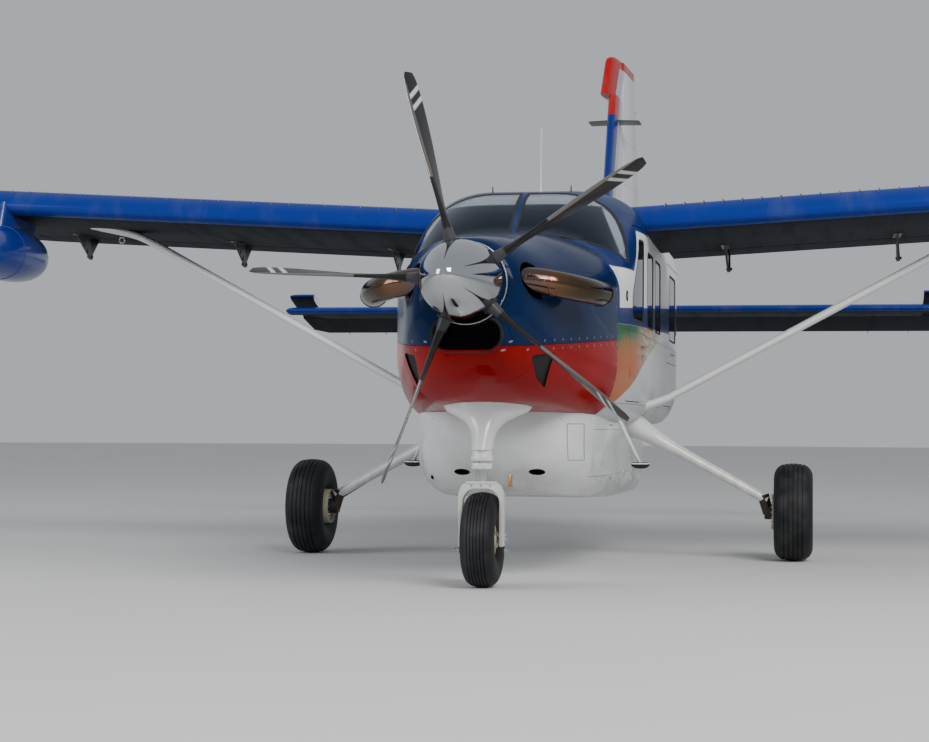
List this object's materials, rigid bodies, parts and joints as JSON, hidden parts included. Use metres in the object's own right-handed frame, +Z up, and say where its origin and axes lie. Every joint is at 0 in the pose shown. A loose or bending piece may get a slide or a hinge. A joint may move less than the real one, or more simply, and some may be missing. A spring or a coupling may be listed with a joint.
{
  "type": "single-engine turboprop utility plane",
  "caption": "High-wing single-engine turboprop plane on fixed tricycle gear, with strut-braced wings, a cargo pod and a feathered propeller.",
  "frame": {"origin": "on the ground, under the middle of the plane's overall box", "axes": "+X towards the plane's left wing tip, +Y from the nose towards the tail, +Z up; the spinner points to -Y"},
  "size_m": [13.72, 10.4, 4.69],
  "materials": {
    "cabin_white": "gloss white paint with a dark blue band and a green and orange sweep",
    "door_paint": "gloss paint that continues the cabin's pattern",
    "cowl_navy": "polished navy paint",
    "cowl_red": "polished red paint",
    "wing_blue": "gloss blue leading edge, dark satin underside",
    "tail_white": "white and grey with a blue leading edge and a red tip",
    "pod_grey": "pale grey paint with light road dirt",
    "strut_white": "gloss white paint",
    "gear_white": "gloss white paint, greyed low down",
    "spinner_chrome": "polished metal",
    "hub_steel": "bare machined metal",
    "blade_carbon": "dark composite with a bare metal leading edge and two white tip stripes",
    "stack_bronze": "polished steel, heat-tinted bronze",
    "engine_metal": "grey engine casing",
    "glass": "clear acrylic, lightly tinted",
    "tyre_rubber": "black ribbed rubber",
    "wheel_cream": "cream painted wheel halves with steel bolts",
    "seat_leather": "dark grey leather with seams",
    "panel_black": "matt black instrument panel and glare shield"
  },
  "bodies": {
    "airframe": {"cabin_shell": "cabin_white", "windshield_left": "glass", "windshield_right": "glass", "side_windows_left": "glass", "side_windows_right": "glass", "crew_seat_left": "seat_leather", "crew_seat_right": "seat_leather", "cabin_seats_1": "seat_leather", "cabin_seats_2": "seat_leather", "instrument_panel": "panel_black", "cowling_upper": "cowl_navy", "cowling_lower": "cowl_red", "engine": "engine_metal", "exhaust_left": "stack_bronze", "exhaust_right": "stack_bronze", "wing_left": "wing_blue", "wing_right": "wing_blue", "strut_left": "strut_white", "strut_right": "strut_white", "radar_pod": "wing_blue", "tail_cone": "cabin_white", "fin": "tail_white", "tailplane_left": "wing_blue", "tailplane_right": "wing_blue", "cargo_pod": "pod_grey", "crew_step_left": "gear_white", "crew_step_right": "gear_white", "gear_leg_left": "gear_white", "gear_leg_right": "gear_white", "nose_leg": "gear_white"},
    "propeller": {"spinner": "spinner_chrome", "propeller_hub": "hub_steel", "blade_1": "blade_carbon", "blade_2": "blade_carbon", "blade_3": "blade_carbon", "blade_4": "blade_carbon", "blade_5": "blade_carbon"},
    "nose_fork": {"nose_fork": "gear_white"},
    "nose_wheel": {"nose_hub": "wheel_cream", "nose_tyre": "tyre_rubber"},
    "main_wheel_left": {"main_hub_left": "wheel_cream", "main_tyre_left": "tyre_rubber"},
    "main_wheel_right": {"main_hub_right": "wheel_cream", "main_tyre_right": "tyre_rubber"},
    "crew_door_left": {"crew_door_left": "door_paint", "crew_door_window_left": "glass"},
    "crew_door_right": {"crew_door_right": "door_paint", "crew_door_window_right": "glass"},
    "cargo_door_upper": {"cargo_door_upper": "door_paint", "cargo_door_window": "glass"},
    "cargo_door_lower": {"cargo_door_lower": "door_paint"},
    "flap_left": {"flap_left": "wing_blue"},
    "flap_right": {"flap_right": "wing_blue"},
    "aileron_left": {"aileron_left": "wing_blue"},
    "aileron_right": {"aileron_right": "wing_blue"},
    "elevator": {"elevator_left": "wing_blue", "elevator_right": "wing_blue"},
    "rudder": {"rudder": "tail_white"}
  },
  "joints": [
    {"name": "propeller_spin", "type": "hinge", "parent": "airframe", "child": "propeller", "pos_m": [0, -4.679, 1.796], "axis": [0, -1, 0], "continuous": true},
    {"name": "nose_steering", "type": "hinge", "parent": "airframe", "child": "nose_fork", "pos_m": [0, -3.938, 0.6], "axis": [0, 0, 1], "range_deg": [-50, 50]},
    {"name": "nose_wheel_spin", "type": "hinge", "parent": "nose_fork", "child": "nose_wheel", "pos_m": [0, -3.898, 0.287], "axis": [1, 0, 0], "continuous": true},
    {"name": "main_wheel_left_spin", "type": "hinge", "parent": "airframe", "child": "main_wheel_left", "pos_m": [1.82, -1.028, 0.357], "axis": [1, 0, 0], "continuous": true},
    {"name": "main_wheel_right_spin", "type": "hinge", "parent": "airframe", "child": "main_wheel_right", "pos_m": [-1.82, -1.028, 0.357], "axis": [1, 0, 0], "continuous": true},
    {"name": "crew_door_left_hinge", "type": "hinge", "parent": "airframe", "child": "crew_door_left", "pos_m": [0.7625, -2.538, 1.5], "axis": [0, 0, -1], "range_deg": [0, 80]},
    {"name": "crew_door_right_hinge", "type": "hinge", "parent": "airframe", "child": "crew_door_right", "pos_m": [-0.7625, -2.538, 1.5], "axis": [0, 0, 1], "range_deg": [0, 80]},
    {"name": "cargo_door_upper_hinge", "type": "hinge", "parent": "airframe", "child": "cargo_door_upper", "pos_m": [0.79, 0.88, 2.3], "axis": [0, -1, 0], "range_deg": [0, 85]},
    {"name": "cargo_door_lower_hinge", "type": "hinge", "parent": "airframe", "child": "cargo_door_lower", "pos_m": [0.762, 0.88, 1.15], "axis": [0, 1, 0], "range_deg": [0, 110]},
    {"name": "flap_left_hinge", "type": "hinge", "parent": "airframe", "child": "flap_left", "pos_m": [2.61008, -0.278, 2.28121], "axis": [-0.9984, 0, -0.0567], "range_deg": [0, 35]},
    {"name": "flap_right_hinge", "type": "hinge", "parent": "airframe", "child": "flap_right", "pos_m": [-2.61008, -0.278, 2.28121], "axis": [-0.9984, 0, 0.0567], "range_deg": [0, 35]},
    {"name": "aileron_left_hinge", "type": "hinge", "parent": "airframe", "child": "aileron_left", "pos_m": [4.44604, -0.1781, 2.58107], "axis": [0.9781, -0.1979, 0.0639], "range_deg": [-16, 23]},
    {"name": "aileron_right_hinge", "type": "hinge", "parent": "airframe", "child": "aileron_right", "pos_m": [-4.44604, -0.1781, 2.58107], "axis": [0.9781, 0.1979, -0.0639], "range_deg": [-16, 23]},
    {"name": "elevator_hinge", "type": "hinge", "parent": "airframe", "child": "elevator", "pos_m": [0, 3.952, 2.119], "axis": [1, 0, 0], "range_deg": [0, 38]},
    {"name": "rudder_hinge", "type": "hinge", "parent": "airframe", "child": "rudder", "pos_m": [0, 4.162, 2.4], "axis": [0, 0, 1], "range_deg": [-17, 33]}
  ]
}
